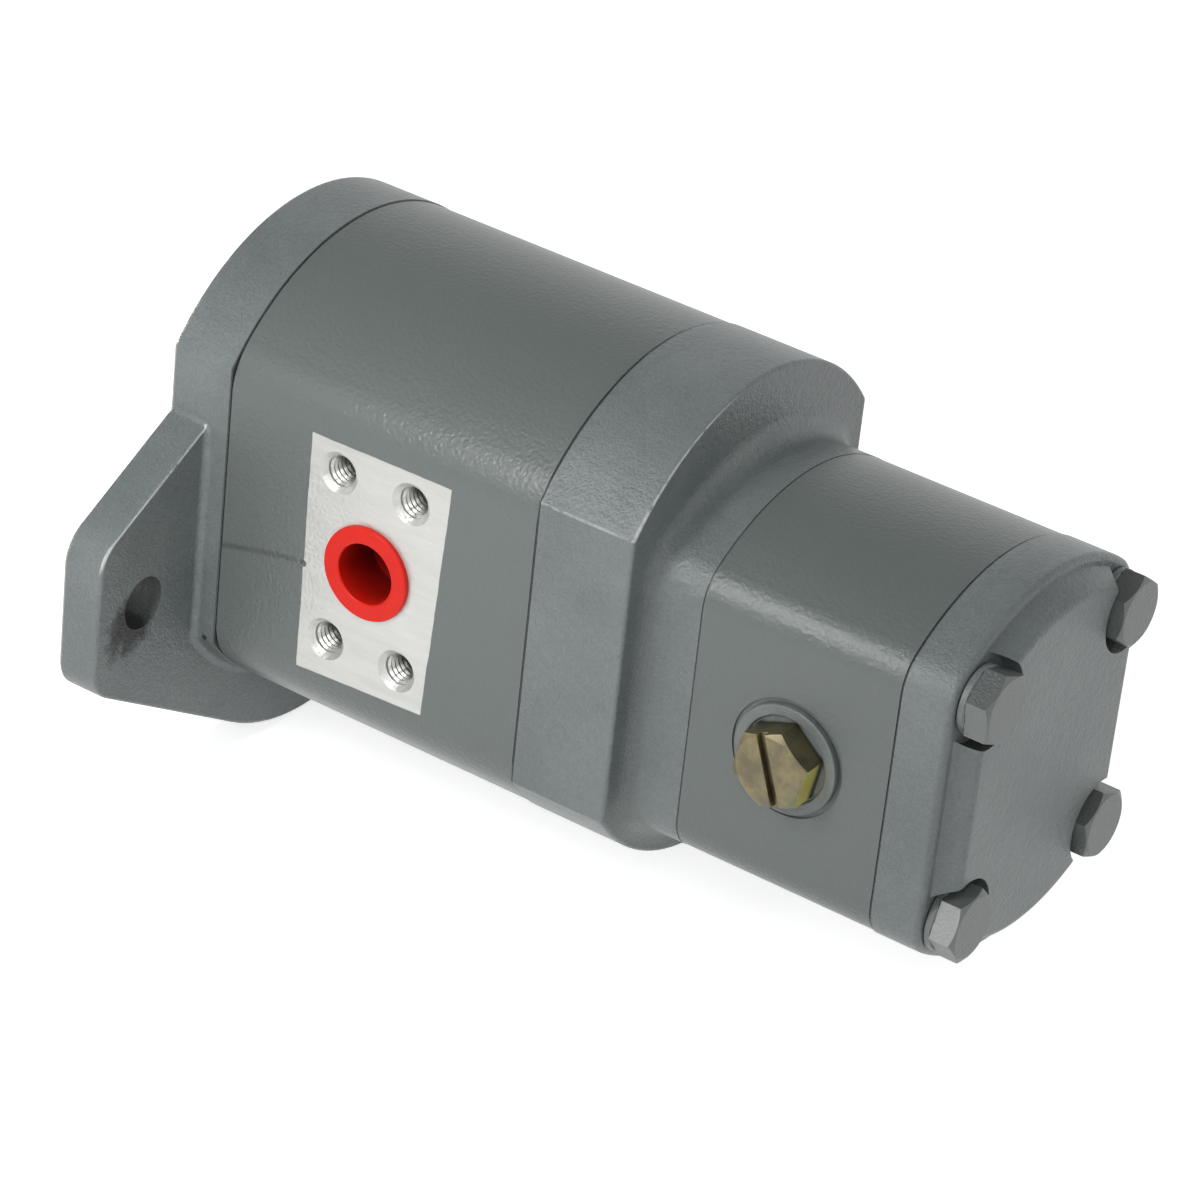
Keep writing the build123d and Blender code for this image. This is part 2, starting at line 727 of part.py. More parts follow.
def bush_set(name, starts, length, bush_radius, distance):
    """Plain bearing bushes pressed into the blocks, two for each block."""
    with BuildPart() as bushes:
        for start in starts:
            with BuildSketch(across(start + bush_recess)):
                with Locations((0, 0), (0, distance)):
                    Circle(bush_radius)
                    Circle(bush_radius - bush_wall, mode=Mode.SUBTRACT)
            extrude(amount=length - 2 * bush_recess)
    finish(bushes, name)


front_bush_starts = (front_body_start, front_block_rear_start)
rear_bush_starts = (rear_body_start, rear_block_rear_start)
bush_set("front_bushes", front_bush_starts, front_block_length, front_bush_radius, front_distance)
bush_set("rear_bushes", rear_bush_starts, rear_block_length, rear_bush_radius, rear_distance)


def ring_pair(name, start, end, ring, depth):
    """Two seals that lie in face grooves, one at each end of a stage."""
    inner_radius, width, distance, blend = ring
    loose_width = width - 2 * groove_clearance
    loose = (inner_radius + groove_clearance, loose_width, distance, blend + groove_clearance)
    with BuildPart() as rings:
        for x, run in ((start, depth), (end, -depth)):
            with BuildSketch(across(x)):
                add(twin_ring(*loose))
            extrude(amount=run)
    finish(rings, name)


ring_pair("front_body_seals", front_body_start, front_body_end, front_body_ring, body_seal_depth)
ring_pair("rear_body_seals", rear_body_start, rear_body_end, rear_body_ring, body_seal_depth)
ring_pair("front_block_seals", front_body_start, front_body_end, front_block_ring, block_seal_depth)
ring_pair("rear_block_seals", rear_body_start, rear_body_end, rear_block_ring, block_seal_depth)

# ---------------------------------------------------------------- shaft seal and its retaining ring
seal_front = shaft_seal_depth - shaft_seal_width
seal_outer = shaft_seal_diameter / 2
seal_lip = seal_journal_diameter / 2 + bearing_clearance

with BuildPart() as shaft_seal:
    with BuildSketch(Plane.XZ):
        with BuildLine():
            Polyline(
                (seal_front, seal_outer),
                (shaft_seal_depth, seal_outer),
                (shaft_seal_depth, seal_outer - seal_shell),
                (seal_front + seal_shell, seal_outer - seal_shell),
                (seal_front + seal_shell, seal_lip + seal_shell),
                (shaft_seal_depth - seal_shell, seal_lip + seal_lip_width),
                (shaft_seal_depth - seal_shell, seal_lip),
                (seal_front, seal_lip + seal_lip_width),
                close=True,
            )
        make_face()
    revolve(axis=Axis.X)
finish(shaft_seal, "shaft_seal")

with BuildPart() as retaining_ring:
    with BuildSketch(across(ring_groove_start)):
        Circle(seal_outer + retaining_ring_depth - groove_clearance)
        Circle(seal_outer - retaining_ring_height, mode=Mode.SUBTRACT)
        with BuildLine():
            opening = radians(retaining_ring_gap_angle / 2)
            reach = shaft_seal_diameter
            Polyline((0, 0), polar(reach, pi / 2 - opening), polar(reach, pi / 2 + opening), close=True)
        make_face(mode=Mode.SUBTRACT)
    extrude(amount=retaining_ring_width)
finish(retaining_ring, "retaining_ring")


# ---------------------------------------------------------------- fasteners
def dowel_set(name, stations, places):
    with BuildPart() as dowels:
        for x in stations:
            with BuildSketch(across(x - dowel_length / 2 + seat_clearance)):
                with Locations(*places):
                    Circle(dowel_diameter / 2 - seat_clearance)
            extrude(amount=dowel_length - 2 * seat_clearance)
    finish(dowels, name)


dowel_set("front_dowels", (front_body_start, front_body_end), front_dowels_at)
dowel_set("rear_dowels", (rear_body_start, rear_body_end), rear_dowels_at)

with BuildPart() as front_tie_screws:
    with BuildSketch(across(counterbore_seat)):
        with Locations(*front_screws_at):
            Circle(bolt_diameter / 2)
    extrude(amount=front_screw_length)
    with BuildSketch(across(counterbore_seat)):
        with Locations(*front_screws_at):
            Circle(socket_head_diameter / 2)
    extrude(amount=-socket_head_height)
    with BuildSketch(across(counterbore_seat - socket_head_height)):
        with Locations(*front_screws_at):
            RegularPolygon(socket_across_flats / 2, 6, major_radius=False)
    extrude(amount=socket_depth, mode=Mode.SUBTRACT)
finish(front_tie_screws, "front_tie_screws")

head_seat = rear_seat + washer_thickness
with BuildPart() as rear_bolts:
    with BuildSketch(across(head_seat)):
        for place, turn in zip(rear_bolts_at, rear_bolt_turns):
            with Locations(place):
                RegularPolygon(head_across_flats / 2, 6, major_radius=False, rotation=turn)
    extrude(amount=head_height)
    # a cone bevels the corners of the hexagon
    with BuildSketch(across(head_seat + head_height)):
        with Locations(*rear_bolts_at):
            Circle(head_across_flats / 2 - head_bevel)
    extrude(amount=-head_height, taper=-head_bevel_angle, mode=Mode.INTERSECT)
    with BuildSketch(across(head_seat)):
        with Locations(*rear_bolts_at):
            Circle(bolt_diameter / 2)
    extrude(amount=-rear_bolt_length)
finish(rear_bolts, "rear_bolts")

with BuildPart() as rear_washers:
    with BuildSketch(across(rear_seat)):
        with Locations(*rear_bolts_at):
            Circle(washer_diameter / 2)
            Circle((bolt_diameter + bolt_clearance) / 2, mode=Mode.SUBTRACT)
    extrude(amount=washer_thickness)
    circles = rear_washers.edges().filter_by(GeomType.CIRCLE)
    rims = circles.filter_by(lambda edge: edge.radius > head_across_flats / 2)
    chamfer(rims, washer_bevel)
finish(rear_washers, "rear_washers")

# ---------------------------------------------------------------- port plug of the rear stage
plug_seat = rear_port_face.offset(-spotface_depth)
plug_head_base = plug_seat.offset(plug_seal_thickness - plug_seal_recess_depth)
plug_head_end = plug_head_base.offset(plug_head_height)

with BuildPart() as port_plug:
    with BuildSketch(plug_head_base):
        RegularPolygon(plug_across_flats / 2, 6, major_radius=False, rotation=plug_turn)
    extrude(amount=plug_head_height)
    with BuildSketch(plug_head_end):
        Circle(plug_across_flats / 2 - head_bevel)
    extrude(amount=-plug_head_height, taper=-head_bevel_angle, mode=Mode.INTERSECT)
    with BuildSketch(plug_head_base):
        Circle(rear_thread_diameter / 2 - seat_clearance)
    extrude(amount=-(plug_seal_thickness + plug_shank_length))
    with BuildSketch(plug_head_end):
        Rectangle(plug_slot_width, plug_seal_diameter, rotation=plug_turn)
    extrude(amount=-plug_slot_depth, mode=Mode.SUBTRACT)
finish(port_plug, "port_plug")

with BuildPart() as plug_seal:
    with BuildSketch(plug_seat):
        Circle(plug_seal_diameter / 2)
        Circle(rear_thread_diameter / 2, mode=Mode.SUBTRACT)
    extrude(amount=plug_seal_thickness)
    with BuildSketch(plug_seat.offset(plug_seal_thickness)):
        Circle(plug_seal_recess / 2)
    extrude(amount=-plug_seal_recess_depth, mode=Mode.SUBTRACT)
    fillet(plug_seal.faces().sort_by(Axis.Y)[0].edges(), plug_seal_round)
finish(plug_seal, "plug_seal")


# ---------------------------------------------------------------- transit caps of the flange ports
def transit_cap(name, face, bore_diameter):
    """Hollow push-in cap: tapered shank with a closed floor and a rim that rests on the pad."""
    mouth = bore_diameter / 2 - cap_bore_clearance
    slope = cap_depth * tan(radians(cap_taper))
    with BuildPart() as cap:
        with BuildSketch(face):
            Circle(mouth)
        with BuildSketch(face.offset(-cap_depth)):
            Circle(mouth - slope)
        loft()
        with BuildSketch(face):
            Circle(bore_diameter / 2 + cap_rim_width)
        extrude(amount=cap_rim_height)
        with BuildSketch(face.offset(cap_rim_height)):
            Circle(mouth - cap_wall)
        with BuildSketch(face.offset(cap_floor - cap_depth)):
            Circle(mouth - cap_wall - slope)
        loft(mode=Mode.SUBTRACT)
        rim = cap.faces().sort_by(Axis(face.origin, face.z_dir))[-1]
        fillet(rim.edges(), cap_rim_round)
    finish(cap, name)


transit_cap("outlet_cap", outlet_face, outlet_diameter)
transit_cap("inlet_cap", inlet_face, inlet_diameter)
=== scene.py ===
# %% [markdown]
# # Dressing a tandem gear pump
# The construction of the pump is already made: every piece has its real size and place, in metres,
# and the pieces that turn or pull out know the body that they move with. This lesson gives them
# their finish: satin paint over rough castings and smooth extrusions, a bare machined port pad, red
# transit caps and a yellow-plated plug. We load that frame first, because all places come from it.

# %% Load the frame
import json
from math import cos, pi, radians, sin

import bmesh
import bpy
from mathutils import Matrix, Vector


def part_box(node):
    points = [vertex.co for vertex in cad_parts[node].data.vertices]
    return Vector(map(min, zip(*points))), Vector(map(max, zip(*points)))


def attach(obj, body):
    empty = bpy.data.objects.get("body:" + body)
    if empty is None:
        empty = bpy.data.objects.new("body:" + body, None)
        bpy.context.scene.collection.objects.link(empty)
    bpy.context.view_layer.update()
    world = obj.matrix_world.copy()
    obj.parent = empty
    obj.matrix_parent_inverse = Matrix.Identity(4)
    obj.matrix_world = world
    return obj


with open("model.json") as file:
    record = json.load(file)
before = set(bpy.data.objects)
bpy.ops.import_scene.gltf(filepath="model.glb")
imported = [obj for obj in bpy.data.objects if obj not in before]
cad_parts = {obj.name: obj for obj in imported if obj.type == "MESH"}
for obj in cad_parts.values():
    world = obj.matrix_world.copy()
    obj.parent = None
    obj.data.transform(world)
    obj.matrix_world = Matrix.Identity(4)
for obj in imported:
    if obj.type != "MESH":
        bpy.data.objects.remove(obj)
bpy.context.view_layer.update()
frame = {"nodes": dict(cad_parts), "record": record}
nodes = frame["nodes"]
mounts = {mount["name"]: mount for mount in frame["record"]["mounts"]}
print("pieces in the frame:", len(nodes))


# %% [markdown]
# ## Shader maths that reads like maths
# A procedural finish is mostly arithmetic on masks. Wiring Math nodes by hand hides that, so a
# small class wraps a socket and turns +, -, * and ** into nodes. Numbers may stand on either side,
# so 1 - mask turns a mask round.


# %% A socket with operators
class Value:
    """A number that varies over the surface, held by a socket."""

    def __init__(self, paint, socket):
        self.paint = paint
        self.socket = socket

    def __add__(self, other):
        return self.paint.maths("ADD", self, other)

    __radd__ = __add__

    def __mul__(self, other):
        return self.paint.maths("MULTIPLY", self, other)

    __rmul__ = __mul__

    def __sub__(self, other):
        return self.paint.maths("SUBTRACT", self, other)

    def __rsub__(self, other):
        return self.paint.maths("SUBTRACT", other, self)

    def __pow__(self, other):
        return self.paint.maths("POWER", self, other)


print("values can be added, subtracted, multiplied and raised")


# %% [markdown]
# ## A node tree that grows
# Any node can be made by its kind, with its settings and its sockets as arguments, so one method
# replaces dozens. On top of it stand the few masks that every finish needs: step rises smoothly
# from 0 to 1, fade falls, and within does both. The sky and the materials share this class.


# %% A node tree made from Python values
class Wiring:
    """A node tree that grows from Python values."""

    def __init__(self, tree):
        self.tree = tree
        self.tree.nodes.clear()

    def node(self, kind, settings=None, **sockets):
        """Any node: its settings first, then its sockets by name, or by number as _0, _1."""
        made = self.tree.nodes.new(kind)
        for key, value in (settings or {}).items():
            setattr(made, key, value)
        for key, value in sockets.items():
            by_number = key.startswith("_")
            socket = made.inputs[int(key[1:]) if by_number else key.replace("_", " ")]
            if isinstance(value, Value):
                value = value.socket
            if isinstance(value, bpy.types.NodeSocket):
                self.tree.links.new(value, socket)
            else:
                socket.default_value = value
        return made

    def maths(self, operation, first, second=0.0):
        made = self.node("ShaderNodeMath", {"operation": operation}, _0=first, _1=second)
        return Value(self, made.outputs[0])

    def least(self, first, second):
        return self.maths("MINIMUM", first, second)

    def most(self, first, second):
        return self.maths("MAXIMUM", first, second)

    def size(self, value):
        return self.maths("ABSOLUTE", value)

    def away(self, across, up):
        """Distance from the point where across and up are both 0."""
        return (across * across + up * up) ** 0.5

    def split(self, vector):
        made = self.node("ShaderNodeSeparateXYZ", Vector=vector)
        return [Value(self, socket) for socket in made.outputs]

    def step(self, value, low, high):
        """0 below low, 1 above high, smooth between them."""
        ramp = self.node(
            "ShaderNodeMapRange", {"interpolation_type": "SMOOTHSTEP", "clamp": True},
            Value=value, From_Min=low, From_Max=high, To_Min=0.0, To_Max=1.0)
        return Value(self, ramp.outputs["Result"])

    def fade(self, value, low, high):
        """1 below low, 0 above high, smooth between them."""
        return 1 - self.step(value, low, high)

    def within(self, value, low, high, blend):
        """1 between low and high, falling to 0 over blend on either side."""
        return self.step(value, low - blend, low) * self.fade(value, high, high + blend)

    def mix(self, share, below, above):
        """A colour that goes from below to above as share goes from 0 to 1."""
        settings = {"data_type": "RGBA", "clamp_factor": True}
        made = self.node("ShaderNodeMix", settings, _0=share, _6=below, _7=above)
        return made.outputs[2]


print("wiring makes nodes of any kind, and masks from them")


# %% [markdown]
# ## Where a finish is on the piece
# Paint, dirt and wear follow places, and so do painted shade and highlight: a joint line, a
# closed-in corner, the side that faces up. Image textures would need unwrapping, so each material
# reads the place on the piece, the way the surface faces, and how closed-in it is. The place stays
# with a piece that moves. The facing is the room's, so only pieces of the housing use it.


# %% A material and its masks
class Paint(Wiring):
    """A material and the nodes that make it."""

    def __init__(self, name):
        self.material = bpy.data.materials.new(name)
        self.material.use_nodes = True
        super().__init__(self.material.node_tree)
        self.place = self.node("ShaderNodeTexCoord").outputs["Object"]
        self.facing = self.node("ShaderNodeNewGeometry").outputs["Normal"]

    def noise(self, scale, detail=2.0, roughness=0.5, stretch=(1, 1, 1)):
        """Cloudy noise between 0 and 1; stretch below 1 draws it out along that axis."""
        point = self.node("ShaderNodeMapping", Vector=self.place, Scale=stretch).outputs[0]
        made = self.node(
            "ShaderNodeTexNoise", {"noise_dimensions": "3D"},
            Vector=point, Scale=scale, Detail=detail, Roughness=roughness)
        return Value(self, made.outputs["Fac"])

    def inside(self, across, up, corners):
        """Distance inside a convex outline, its corners in turn with the inside on their left."""
        depth = None
        for (u, v), (end_u, end_v) in zip(corners, corners[1:] + corners[:1]):
            length = ((end_u - u) ** 2 + (end_v - v) ** 2) ** 0.5
            left = (up - v) * ((end_u - u) / length) - (across - u) * ((end_v - v) / length)
            depth = left if depth is None else self.least(depth, left)
        return depth

    def recess(self, reach):
        """1 deep in a corner, 0 out in the open; reach is how far the walls of a corner count."""
        made = self.node("ShaderNodeAmbientOcclusion", {"samples": 8}, Distance=reach)
        return 1 - Value(self, made.outputs["AO"])

    def bump(self, height, distance, strength=1.0, under=None):
        """A normal that shows height as relief, on top of the normal under it."""
        sockets = {"Height": height, "Distance": distance, "Strength": strength}
        if under is not None:
            sockets["Normal"] = under
        return self.node("ShaderNodeBump", **sockets).outputs["Normal"]

    def finish(self, **sockets):
        """The shader itself; sockets are those of the Principled shader."""
        shader = self.node("ShaderNodeBsdfPrincipled", **sockets)
        self.node("ShaderNodeOutputMaterial", Surface=shader.outputs[0])
        return self.material


print("a paint reads place, facing and recess")

# %% [markdown]
# ## Colours and slots
# Colours are easiest to choose as a screen shows them, but shaders add up light, so each colour is
# made linear first. A finish goes on the object's slots and not on its mesh, which stays as made.

# %% Tint and dress
screen_levels = 255


def tint(red, green, blue):
    """A colour as it shows on a screen, turned into the linear values that shaders use."""
    linear = []
    for level in (red, green, blue):
        share = level / screen_levels
        linear.append(((share + 0.055) / 1.055) ** 2.4 if share > 0.0404 else share / 12.92)
    return (*linear, 1.0)


def dress(name, material):
    """Put one material on every slot of a piece of the frame."""
    for slot in nodes[name].material_slots:
        slot.link = "OBJECT"
        slot.material = material
    print(f"{name}: {material.name}")


print("middle grey is", [round(c, 3) for c in tint(128, 128, 128)])

# %% [markdown]
# ## Camera
# The pump is seen from behind and above, from its outlet side, through a long lens from more than a
# metre away, so that parallel edges stay nearly parallel. The view is rolled a few degrees,
# because the pump tips forward onto its flange. We build the camera's axes from its azimuth,
# elevation and roll, since Euler angles would hide which way it looks. The Standard view shows a
# colour as it is written, which the default filmic curve would wash out.

# %% Camera
azimuth = radians(31.986)
elevation = radians(29.958)
roll = radians(-6.330)
eye = Vector((0.7201, -0.9927, 0.6814))
backward = Vector((sin(azimuth) * cos(elevation), -cos(azimuth) * cos(elevation), sin(elevation)))
level_right = (-backward).cross(Vector((0, 0, 1))).normalized()
level_up = level_right.cross(-backward)
upward = cos(roll) * level_up + sin(roll) * level_right
rightward = (-backward).cross(upward)

lens = bpy.data.cameras.new("camera")
lens.sensor_width = 36.0
lens.lens = 160.4
lens.clip_end = 20.0
camera = bpy.data.objects.new("camera", lens)
bpy.context.scene.collection.objects.link(camera)
turn = Matrix((rightward, upward, backward)).transposed().to_4x4()
camera.matrix_world = Matrix.Translation(eye) @ turn
bpy.context.scene.camera = camera
bpy.context.scene.view_settings.view_transform = "Standard"
print("camera looks along", [round(c, 3) for c in -backward])

# %% [markdown]
# ## Floor
# Goods in a catalogue stand on plain white. A white floor lit to pure white would over-light the
# object, so the floor keeps an ordinary pale colour and glows a little for the camera and for
# reflections alone: its shadow stays, and no more light reaches the pump.

# %% Floor
floor_gap = 0.0004
floor_reach = 6.0
floor_grey = 0.8
floor_glow = 0.70

lowest = min(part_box(name)[0].z for name in nodes)
shape = bmesh.new()
bmesh.ops.create_grid(shape, x_segments=1, y_segments=1, size=floor_reach)
bmesh.ops.translate(shape, verts=shape.verts, vec=(0, 0, lowest - floor_gap))
mesh = bpy.data.meshes.new("floor")
shape.to_mesh(mesh)
shape.free()
floor = bpy.data.objects.new("floor", mesh)
bpy.context.scene.collection.objects.link(floor)

pale = Paint("pale floor")
rays = pale.node("ShaderNodeLightPath").outputs
looked_at = pale.most(Value(pale, rays["Is Camera Ray"]), Value(pale, rays["Is Glossy Ray"]))
matt = pale.node("ShaderNodeBsdfDiffuse", Color=(floor_grey, floor_grey, floor_grey, 1.0))
glow = pale.node("ShaderNodeEmission", Color=(1, 1, 1, 1), Strength=looked_at * floor_glow)
both = pale.node("ShaderNodeAddShader", _0=matt.outputs[0], _1=glow.outputs[0])
pale.node("ShaderNodeOutputMaterial", Surface=both.outputs[0])
floor.data.materials.append(pale.material)
print(f"floor at {(lowest - floor_gap) * 1000:.1f} mm")

# %% [markdown]
# ## Sky
# The sky is white to the camera. To reflections it is white near the horizon and dim overhead. As
# a lamp it is half as bright, and again dimmer overhead. Satin paint shows the difference: flat
# sides mirror the white walls, while the shoulders mirror the dim ceiling and look darker. A plain
# white sky would flatten both.

# %% Sky
wall_top, ceiling_start = 0.30, 0.80

world = bpy.data.worlds.new("studio")
bpy.context.scene.world = world
world.use_nodes = True
sky = Wiring(world.node_tree)
rays = sky.node("ShaderNodeLightPath").outputs
in_gloss = Value(sky, rays["Is Glossy Ray"])
direct = sky.most(Value(sky, rays["Is Camera Ray"]), Value(sky, rays["Is Transmission Ray"]))
height = sky.split(sky.node("ShaderNodeTexCoord").outputs["Generated"])[2]
ceiling = sky.step(height, wall_top, ceiling_start)
as_lamp = 0.52 - 0.30 * ceiling
in_mirror = 1.0 - 0.85 * ceiling
strength = as_lamp * (1 - in_gloss) + in_mirror * in_gloss
strength = strength * (1 - direct) + direct
background = sky.node("ShaderNodeBackground", Color=(1, 1, 1, 1), Strength=strength)
sky.node("ShaderNodeOutputWorld", Surface=background.outputs[0])
print("room: white walls, dim ceiling")

# %% [markdown]
# ## Lamps
# Two wide lamps fill in the front and the top. They light the paint but are left out of its gloss,
# or their edges would show on it as hard shapes. A lamp beside the camera lifts the flat sides. One
# narrow strip hangs close by, where the rounded corner of the rear body mirrors it to the camera as
# a long soft streak; any other place would spread that streak over the flats.

# %% Lamps
lamp_target = Vector((0.10, 0.0, 0.01))


def softbox(name, direction, distance, size, power, mirrored=True):
    """A rectangular lamp that faces the middle of the pump; mirrored tells if gloss shows it."""
    data = bpy.data.lights.new(name, "AREA")
    data.shape = "RECTANGLE"
    data.size, data.size_y = size
    data.energy = power
    lamp = bpy.data.objects.new(name, data)
    lamp.location = lamp_target + distance * Vector(direction).normalized()
    lamp.rotation_euler = (lamp_target - lamp.location).to_track_quat("-Z", "Y").to_euler()
    lamp.visible_glossy = mirrored
    bpy.context.scene.collection.objects.link(lamp)
    print(f"{name}: {power} W from {tuple(round(c, 2) for c in lamp.location)}")


softbox("wide front lamp", (-0.40, -0.85, 0.35), 1.6, size=(1.4, 0.9), power=1.2, mirrored=False)
softbox("top lamp", (0.45, 0.40, 0.95), 1.4, size=(1.0, 0.8), power=3.9, mirrored=False)
softbox("strip lamp", (-0.078, -0.318, 0.235), 0.403, size=(0.09, 0.22), power=0.85)
softbox("lamp beside the camera", (0.40, -0.70, 0.55), 1.5, size=(0.40, 0.40), power=4.0)

# %% [markdown]
# ## Paint on cast iron
# The covers are sand castings under one coat of satin grey-green enamel. The skin of the casting
# telegraphs through the paint as an uneven orange peel a millimetre or two across, so the bump is
# a blend of a coarse and a fine noise. The colour drifts a little where the coat is thicker. Tight
# corners, and wider hollows that face up, are painted dark as painted shade. A painted mask would
# do too, but the recess finds every such corner by itself.

# %% Cast skin shared by the covers
cast_green = tint(113, 120, 119)
cast_dark = tint(95, 102, 102)
cast_shade_colour = tint(40, 41, 40)
wide_hollow = 0.005
tight_corner = 0.0025


def cast_skin(paint):
    """Colour, roughness and normal of enamel over a casting."""
    drift = paint.noise(scale=28, detail=3, roughness=0.6)
    peel = paint.noise(scale=520, detail=3, roughness=0.6)
    grit = paint.noise(scale=1500, detail=2, roughness=0.6)
    thickness = paint.step(drift * 0.5 + peel * 0.2 + grit * 0.4, 0.40, 0.72)
    colour = paint.mix(thickness, cast_dark, cast_green)
    upward = paint.step(paint.split(paint.facing)[2], 0.0, 0.5)
    # Painted shade: tight corners and hollows that face up are darkened.
    hollow_shade = paint.step(paint.recess(wide_hollow), 0.40, 0.90) * upward
    hollow_shade = paint.most(hollow_shade, paint.step(paint.recess(tight_corner), 0.45, 0.85))
    colour = paint.mix(hollow_shade * 0.85, colour, cast_shade_colour)
    rough = 0.24 + 0.08 * drift + 0.10 * grit
    normal = paint.bump(peel, distance=0.0003)
    normal = paint.bump(grit, distance=0.00024, under=normal)
    return colour, rough, normal


print("enamel over a casting: green", [round(c, 3) for c in cast_green[:3]])

# %% [markdown]
# ## Dirty joints, and edges rubbed and painted light
# Oil and dust draw a dark line where two housings meet, wider at some joints than at others. Edges
# that face up and outwards are painted light: partly paint rubbed off by hands and hoses, partly a
# painted highlight. Both need a place along the shaft, which a mask gives to a tenth of a
# millimetre; modelled grooves and chamfers that small would cost many faces.

# %% Joint lines, and edges rubbed and painted light
rub_and_highlight_green = tint(184, 188, 186)
joint_dirt = tint(26, 28, 28)


def dirty_joints(paint, colour, joints):
    """Dark lines round the piece, from (place along the shaft, darkness, half width) of each."""
    along = paint.split(paint.place)[0]
    for place, darkness, half_line in joints:
        line = paint.fade(paint.size(along - place), half_line * 0.8, half_line)
        colour = paint.mix(line * darkness, colour, joint_dirt)
    return colour


def rim_rub_and_highlight(paint, colour, plane, radius):
    """Rubbed paint and painted highlight before a plane across the shaft, facing up and out."""
    along = paint.split(paint.place)[0]
    facing = paint.split(paint.facing)
    edge = paint.within(facing[0], 0.25, 0.85, 0.12)
    edge = edge * paint.within(along, plane - radius, plane, 0.0001)
    shoulder = paint.within(facing[2], 0.32, 0.50, 0.24) * paint.step(0.0 - facing[1], 0.05, 0.2)
    broken = paint.step(paint.noise(scale=300, detail=3), 0.25, 0.50)
    return paint.mix(edge * shoulder * broken * 0.95, colour, rub_and_highlight_green)


def corner_rub_and_highlight(paint, colour, plane, radius):
    """Rub and painted highlight where the round top meets the flat side, up to the rim's plane."""
    along = paint.split(paint.place)[0]
    corner = paint.within(paint.split(paint.facing)[2], 0.12, 0.45, 0.08)
    corner = corner * paint.fade(along, plane - radius, plane)
    broken = paint.step(paint.noise(scale=420, detail=3), 0.30, 0.55)
    return paint.mix(corner * broken * 0.45, colour, rub_and_highlight_green)


front_seam, middle_seam = (corner.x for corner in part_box("front_body"))
neck_seam, rear_seam = (corner.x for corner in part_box("rear_body"))
front_joint = (front_seam, 0.75, 0.00034)
middle_joint = (middle_seam + 0.0002, 0.95, 0.00045)
neck_joint = (neck_seam, 0.45, 0.00025)
rear_joint = (rear_seam + 0.0001, 0.90, 0.00040)
seams = (front_seam, middle_seam, neck_seam, rear_seam)
print("joints at", [round(place * 1000, 1) for place in seams], "mm")

# %% [markdown]
# ## Intermediate and rear covers
# Two castings share one recipe: the skin, then the edges painted light, then the dirt of the joints
# on top. Only the intermediate cover gets the light edges, along the rim of its step: partly rubbed
# paint, partly a painted highlight.

# %% Intermediate and rear covers
neck_length = 0.0152
middle_rim = (neck_seam - neck_length, 0.0012)


def cast_cover(name, joints, rims=()):
    """The finish of a cast cover; each rim is its plane and its radius."""
    paint = Paint(name)
    colour, rough, normal = cast_skin(paint)
    for rim in rims:
        colour = rim_rub_and_highlight(paint, colour, *rim)
        colour = corner_rub_and_highlight(paint, colour, *rim)
    colour = dirty_joints(paint, colour, joints)
    return paint.finish(Base_Color=colour, Roughness=rough, Normal=normal)


middle_enamel = cast_cover("cast enamel, middle", [middle_joint, neck_joint], [middle_rim])
dress("intermediate_cover", middle_enamel)
dress("rear_cover", cast_cover("cast enamel, rear", [rear_joint]))

# %% [markdown]
# ## Dirt and painted shade at the flange's ear
# The pump was bolted up once: the paint round the ear hole is rubbed through by a washer and holds
# black grease, more below the hole than above. Distance from the hole's axis, broken by noise,
# gives that patch. A run leads down from it, and one spot of oil sits on the cover's side by the
# body. Only the outlet side has them, so a mask for that side multiplies them. The walls of both
# holes are painted dark with the grease colour, as painted shade.

# %% Dirt and painted shade on the front cover
hole_reach = 0.5 * mounts["mounting_bolts"]["dims"]["spacing_x_mm"] / 1000
hole_radius = 0.0070
grease_core, grease_edge = 0.0048, 0.0085
run_out, run_down = 0.0052, 0.0075
spot_x, spot_z = 0.0151, -0.0179
grease_and_shade = tint(22, 21, 20)
ear_rim = (0.0115, 0.0011)

paint = Paint("cast enamel, front")
colour, rough, normal = cast_skin(paint)
colour = dirty_joints(paint, colour, [front_joint])
# The ear's rim is painted light as well: partly rubbed paint, partly a painted highlight.
colour = rim_rub_and_highlight(paint, colour, *ear_rim)
x, y, z = paint.split(paint.place)
outlet_side = paint.step(0.0 - y, -0.001, 0.001)
past_hole = paint.size(y) - hole_reach
from_axis = paint.away(past_hole, z)
ragged = paint.noise(scale=240, detail=4, roughness=0.7)
outward = (past_hole - z) * 0.707
patch = paint.fade(from_axis + (ragged - 0.5) * 0.008 - outward * 0.55, grease_core, grease_edge)
beside_run = paint.size(past_hole - run_out) + paint.size(z + run_down) * 0.3
run = paint.fade(beside_run, 0.0006, 0.0042) * outlet_side
# Painted shade: the walls of the ear holes are darkened.
hole_wall_shade = paint.fade(from_axis, hole_radius, hole_radius + 0.0004)
stain_and_shade = paint.most(patch * outlet_side, run * ragged)
stain_and_shade = paint.most(stain_and_shade, hole_wall_shade * 0.85)
machined = paint.fade(x, 0.0002, 0.0006)
stain_and_shade = stain_and_shade * (1 - machined)
spot = paint.fade(paint.away(x - spot_x, z - spot_z), 0.0005, 0.0011)
stain_and_shade = paint.most(stain_and_shade, spot * outlet_side)
colour = paint.mix(stain_and_shade * 0.95, colour, grease_and_shade)
print(f"grease round the hole {hole_reach * 1000:.1f} mm from the shaft")

# %% [markdown]
# ## Turned mounting face
# In front, the mounting face and the pilot are turned after casting and stay bare: bright iron with
# fine rings round the shaft. A ring texture gives the tool marks; real grooves would be too fine.

